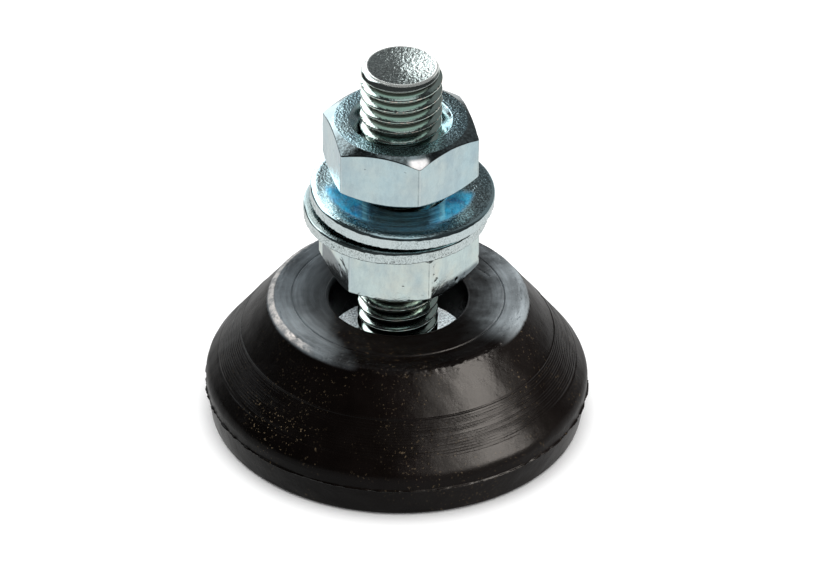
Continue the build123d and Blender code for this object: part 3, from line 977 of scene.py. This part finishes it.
def area_light(name, centre, size, aim_height, power, colour=(1, 1, 1)):
    """A soft box aimed at a height on the Z axis."""
    data = bpy.data.lights.new(name, "AREA")
    data.shape = "RECTANGLE"
    data.size, data.size_y = size
    data.energy = power
    data.color = colour
    light = bpy.data.objects.new(name, data)
    bpy.context.scene.collection.objects.link(light)
    light.location = centre
    aim = Vector((0, 0, aim_height)) - Vector(centre)
    light.rotation_euler = aim.to_track_quat("-Z", "Y").to_euler()
    return light


def group(name, *members):
    collection = bpy.data.collections.new(name)
    for member in members:
        collection.objects.link(member)
    return collection


WINDOW_SIZE = (0.23, 0.34)
WINDOW_TINT = (1.0, 0.93, 0.86)


def make_lights(rubber, stud, washer):
    """One light for everything, and weak ones that each light a single piece. The stud doesn't
    shade the washer's painted reflections or the plate in the well from theirs."""
    overhead = area_light("overhead", (0, 0.1, 0.8), (1.2, 1.2), 0, 9)
    overhead.visible_glossy = False
    window = area_light("window", (0.40, -0.20, 0.27), WINDOW_SIZE, 0.02, 8.0, WINDOW_TINT)
    curtain = area_light("curtain", (0.28, -0.35, 0.27), WINDOW_SIZE, 0.02, 1.7, WINDOW_TINT)
    lit_by_window = group("lit_by_window", rubber)
    for light in (window, curtain):
        light.light_linking.receiver_collection = lit_by_window
    fill = area_light("fill", (0.0, -0.30, 0.25), (0.30, 0.30), 0.032, 0.65)
    fill.visible_glossy = False
    fill.light_linking.receiver_collection = group("lit_by_fill", washer)
    fill.light_linking.blocker_collection = group("shading_fill", stud)
    well = area_light("well", (0.02, -0.12, 0.30), (0.10, 0.10), 0.01, 1.3)
    well.light_linking.receiver_collection = group("lit_in_well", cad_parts["retainer_plate"])
    well.light_linking.blocker_collection = group("shading_well", stud)


# ---------------------------------------------------------------- the whole foot

LOWER_CORNER, UPPER_CORNER = -67, -76  # degrees
# flats of the lower nut with a painted reflection of the rubber base: direction in degrees, top in mm
LOWER_BASE_REFLECTIONS = ((-157, 24.6), (-37, 22.9))
# places along X in mm over which the flecks' painted shade fades
NUT_FLECK_SHADE_SIDE = (-4.0, -8.5)
WASHER_FLECK_SHADE_SIDE = (-6.2, -9.6)

lower_nut_zinc = zinc(
    "lower_nut_zinc", tint=(0.72, 0.86, 0.85), warm=(0.82, 0.86, 0.78), roughness=(0.10, 0.18),
    fleck_shade_side=NUT_FLECK_SHADE_SIDE, extra=partial(nut_detail, corner_deg=LOWER_CORNER, base_reflections=LOWER_BASE_REFLECTIONS))
upper_nut_zinc = zinc(
    "upper_nut_zinc", tint=(0.60, 0.78, 0.83), warm=(0.68, 0.80, 0.80), roughness=(0.10, 0.18),
    fleck_shade_side=NUT_FLECK_SHADE_SIDE, extra=partial(nut_detail, corner_deg=UPPER_CORNER, base_reflections=()))
upper_washer_zinc = zinc(
    "upper_washer_zinc", tint=(0.55, 0.75, 0.80), warm=(0.62, 0.76, 0.78), roughness=(0.07, 0.14),
    fleck_shade_side=WASHER_FLECK_SHADE_SIDE, extra=partial(washer_detail, with_painted_reflection=True, wall_dirt=0.55, face_painted_shade=0.0))
lower_washer_zinc = zinc(
    "lower_washer_zinc", tint=(0.55, 0.73, 0.76), warm=(0.62, 0.74, 0.72), roughness=(0.07, 0.14),
    fleck_shade_side=WASHER_FLECK_SHADE_SIDE, extra=partial(washer_detail, with_painted_reflection=False, wall_dirt=0.95, face_painted_shade=0.75))
stud_zinc = zinc(
    "stud_zinc", tint=(0.52, 0.65, 0.60), warm=(0.62, 0.70, 0.64), roughness=(0.08, 0.16),
    fleck_shade_side=(-2.6, 1.2), extra=stud_detail)
plate_zinc = zinc(
    "plate_zinc", tint=(0.80, 0.92, 0.97), warm=(0.90, 0.95, 0.96), roughness=(0.15, 0.30),
    fleck_shade_side=(20, 30), extra=plate_detail, grain_depth=0.08)

rubber = make_rubber_base()
stud = make_stud(stud_zinc)
make_nut("hexagon_nut_lower", "lower_nut", LOWER_CORNER, top_mouth=5.6, seed=31, finish=lower_nut_zinc)
make_nut("hexagon_nut_upper", "upper_nut", UPPER_CORNER, top_mouth=6.15, seed=41, finish=upper_nut_zinc)
make_washer("punched_washer_lower", "lower_washer", tilt_deg=0, low_side_deg=0, seed=51,
            finish=lower_washer_zinc)
washer = make_washer("punched_washer_upper", "upper_washer", tilt_deg=2.0, low_side_deg=-25, seed=61,
                     finish=upper_washer_zinc)
CAD_FINISHES = {"retainer_plate": plate_zinc, "seat_cup": plate_zinc, "ball_seat": plastic_material()}
for node, finish in CAD_FINISHES.items():
    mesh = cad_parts[node].data
    mesh.materials.clear()
    mesh.materials.append(finish)

make_floor()
make_world()
make_lights(rubber, stud, washer)
make_camera()
bpy.context.scene.view_settings.view_transform = "Standard"
